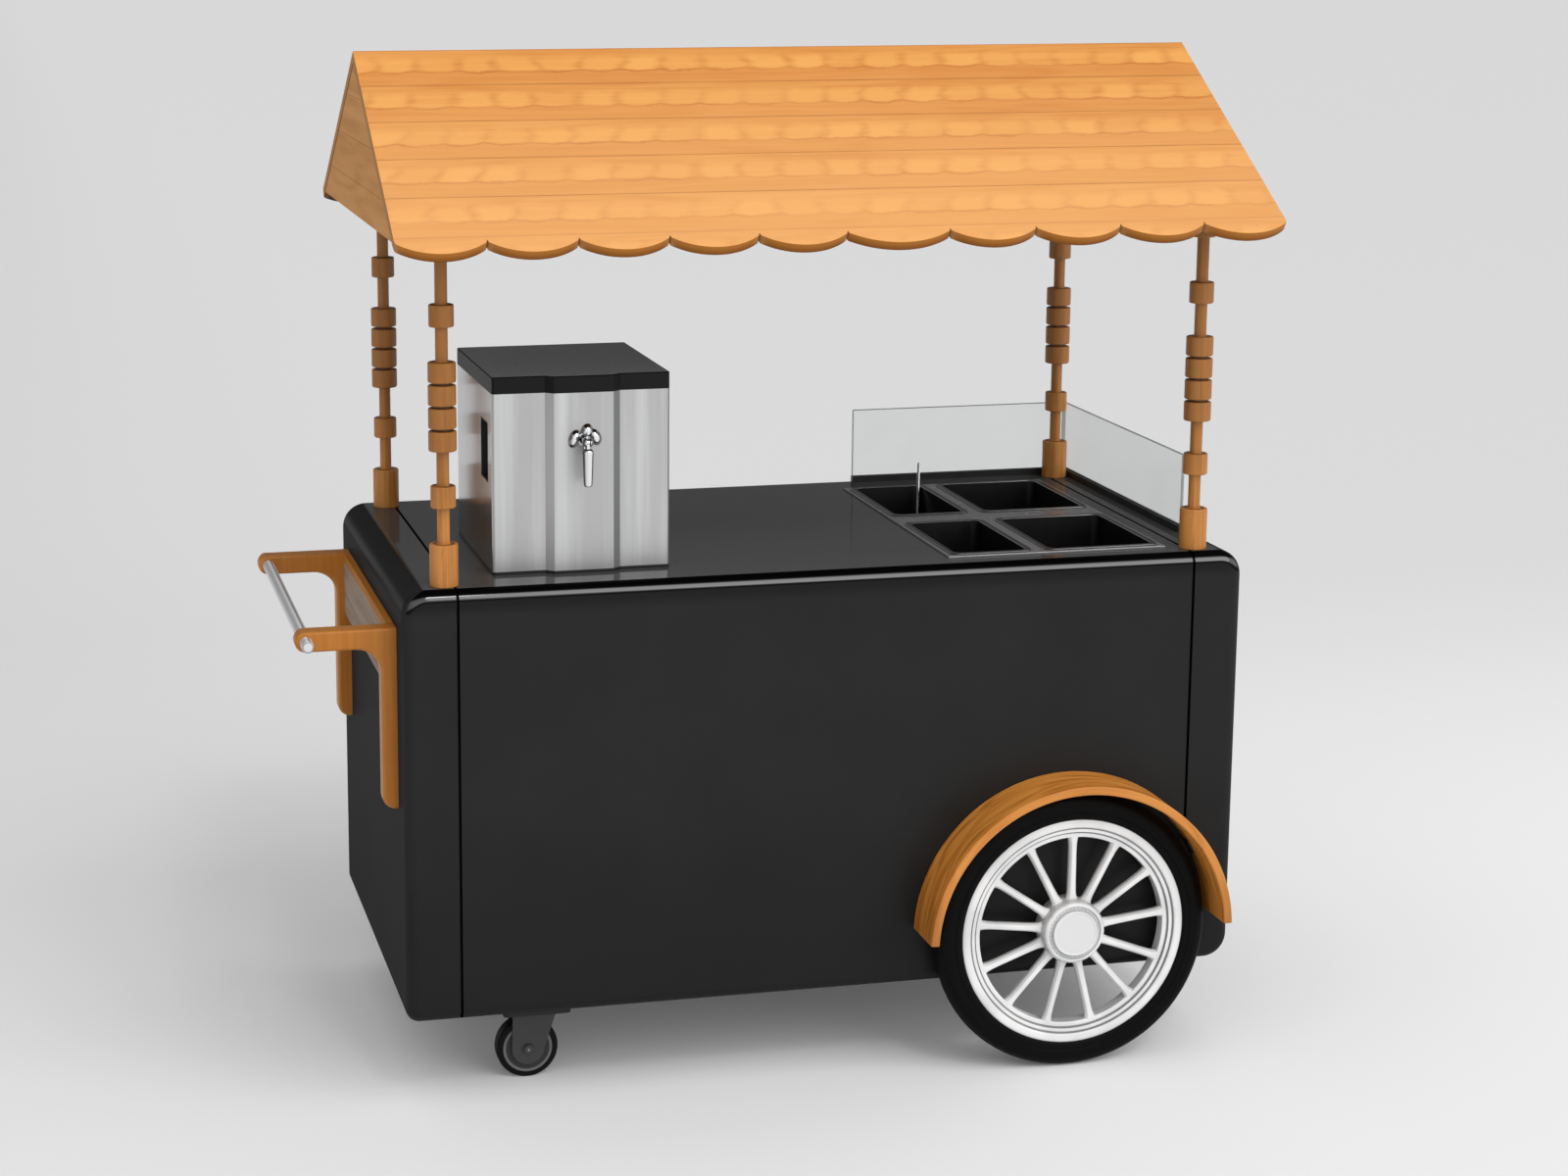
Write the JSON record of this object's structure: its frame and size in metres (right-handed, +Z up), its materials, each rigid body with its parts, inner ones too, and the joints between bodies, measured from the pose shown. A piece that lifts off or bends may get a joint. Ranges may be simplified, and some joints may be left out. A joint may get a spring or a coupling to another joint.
{
  "type": "beverage cart",
  "caption": "Wheeled beverage cart with a black rounded body, gabled scalloped wooden roof on turned posts, push handle, drink dispenser with tap, counter pans and a glass guard.",
  "frame": {"origin": "on the floor under the middle of the cart's overall box, roof and handle included", "axes": "+Z up, -Y towards the customers (the side with the tap), -X towards the push handle"},
  "size_m": [1.753, 1.023, 1.857],
  "materials": {
    "black_shell": "satin",
    "plywood": "matt",
    "honey_wood": "satin",
    "brown_wood": "satin",
    "grey_board": "matt",
    "dark_frame": "satin",
    "chassis_paint": "satin",
    "white_wheel": "gloss",
    "black_tyre": "matt",
    "bush_bronze": "satin",
    "plain_steel": "satin",
    "bright_steel": "polished",
    "case_steel": "brushed",
    "channel_aluminium": "satin",
    "clear_glass": "clear",
    "black_pan": "satin",
    "black_lid": "satin",
    "black_grip": "matt",
    "caster_grey": "satin",
    "caster_rubber": "matt"
  },
  "bodies": {
    "cart": {"centre_shell": "black_shell", "left_end_cap": "black_shell", "right_end_cap": "black_shell", "bulkheads": "plywood", "floor_joists": "plywood", "floor_panel": "plywood", "chassis_rails": "chassis_paint", "axle_blocks": "chassis_paint", "caster_mounts": "chassis_paint", "door_hinges": "plain_steel", "axle": "plain_steel", "axle_nuts": "plain_steel", "fender_brackets": "plain_steel", "post_studs": "plain_steel", "front_fender": "honey_wood", "rear_fender": "honey_wood", "front_handle_bracket": "honey_wood", "rear_handle_bracket": "honey_wood", "handle_board": "grey_board", "handle_bar": "bright_steel", "front_left_post": "brown_wood", "front_right_post": "brown_wood", "rear_left_post": "brown_wood", "rear_right_post": "brown_wood", "front_roof_panel": "honey_wood", "rear_roof_panel": "honey_wood", "left_gable": "brown_wood", "right_gable": "brown_wood", "roof_rails": "brown_wood", "rear_glass": "clear_glass", "right_glass": "clear_glass", "glass_channel": "channel_aluminium", "pan_frame": "dark_frame", "dispenser_body": "case_steel", "dispenser_tank": "case_steel", "dispenser_grips": "black_grip", "tap_body": "bright_steel"},
    "front_wheel_set": {"front_wheel": "white_wheel", "front_tyre": "black_tyre", "front_hub_cap": "white_wheel", "front_wheel_bushes": "bush_bronze"},
    "front_caster_swivel_set": {"front_caster_fork": "caster_grey", "front_caster_axle": "plain_steel"},
    "front_caster_wheel_set": {"front_caster_wheel": "caster_rubber"},
    "rear_wheel_set": {"rear_wheel": "white_wheel", "rear_tyre": "black_tyre", "rear_hub_cap": "white_wheel", "rear_wheel_bushes": "bush_bronze"},
    "rear_caster_swivel_set": {"rear_caster_fork": "caster_grey", "rear_caster_axle": "plain_steel"},
    "rear_caster_wheel_set": {"rear_caster_wheel": "caster_rubber"},
    "storage_door": {"rear_door": "black_shell", "door_leaves": "plain_steel"},
    "tap_handle": {"tap_lever": "bright_steel"},
    "lid": {"dispenser_lid": "black_lid"},
    "front_left_pan_set": {"front_left_pan": "black_pan"},
    "front_right_pan_set": {"front_right_pan": "black_pan"},
    "rear_left_pan_set": {"rear_left_pan": "black_pan"},
    "rear_right_pan_set": {"rear_right_pan": "black_pan"},
    "spoon": {"serving_spoon": "bright_steel"}
  },
  "joints": [
    {"name": "front_wheel_spin", "type": "hinge", "parent": "cart", "child": "front_wheel_set", "pos_m": [0.5275, -0.432, 0.261], "axis": [0, 1, 0], "continuous": true},
    {"name": "front_caster_swivel", "type": "hinge", "parent": "cart", "child": "front_caster_swivel_set", "pos_m": [-0.4495, -0.267, 0.128], "axis": [0, 0, 1], "continuous": true},
    {"name": "front_caster_spin", "type": "hinge", "parent": "front_caster_swivel_set", "child": "front_caster_wheel_set", "pos_m": [-0.4615, -0.267, 0.057], "axis": [0, 1, 0], "continuous": true},
    {"name": "rear_wheel_spin", "type": "hinge", "parent": "cart", "child": "rear_wheel_set", "pos_m": [0.5275, 0.432, 0.261], "axis": [0, 1, 0], "continuous": true},
    {"name": "rear_caster_swivel", "type": "hinge", "parent": "cart", "child": "rear_caster_swivel_set", "pos_m": [-0.4495, 0.267, 0.128], "axis": [0, 0, 1], "continuous": true},
    {"name": "rear_caster_spin", "type": "hinge", "parent": "rear_caster_swivel_set", "child": "rear_caster_wheel_set", "pos_m": [-0.4615, 0.267, 0.057], "axis": [0, 1, 0], "continuous": true},
    {"name": "door_swing", "type": "hinge", "parent": "cart", "child": "storage_door", "pos_m": [-0.5355, 0.408, 0.555], "axis": [0, 0, 1], "range_deg": [0, 95]},
    {"name": "tap_pull", "type": "hinge", "parent": "cart", "child": "tap_handle", "pos_m": [-0.359, -0.344, 1.191], "axis": [-1, 0, 0], "range_deg": [0, 60]},
    {"name": "lid_lift", "type": "slide", "parent": "cart", "child": "lid", "axis": [0, 0, 1], "range_m": [0, 0.15]},
    {"name": "front_left_pan_lift", "type": "slide", "parent": "cart", "child": "front_left_pan_set", "axis": [0, 0, 1], "range_m": [0, 0.2]},
    {"name": "front_right_pan_lift", "type": "slide", "parent": "cart", "child": "front_right_pan_set", "axis": [0, 0, 1], "range_m": [0, 0.2]},
    {"name": "rear_left_pan_lift", "type": "slide", "parent": "cart", "child": "rear_left_pan_set", "axis": [0, 0, 1], "range_m": [0, 0.2]},
    {"name": "rear_right_pan_lift", "type": "slide", "parent": "cart", "child": "rear_right_pan_set", "axis": [0, 0, 1], "range_m": [0, 0.2]},
    {"name": "spoon_lift", "type": "slide", "parent": "rear_left_pan_set", "child": "spoon", "axis": [0, 0, 1], "range_m": [0, 0.2]}
  ]
}
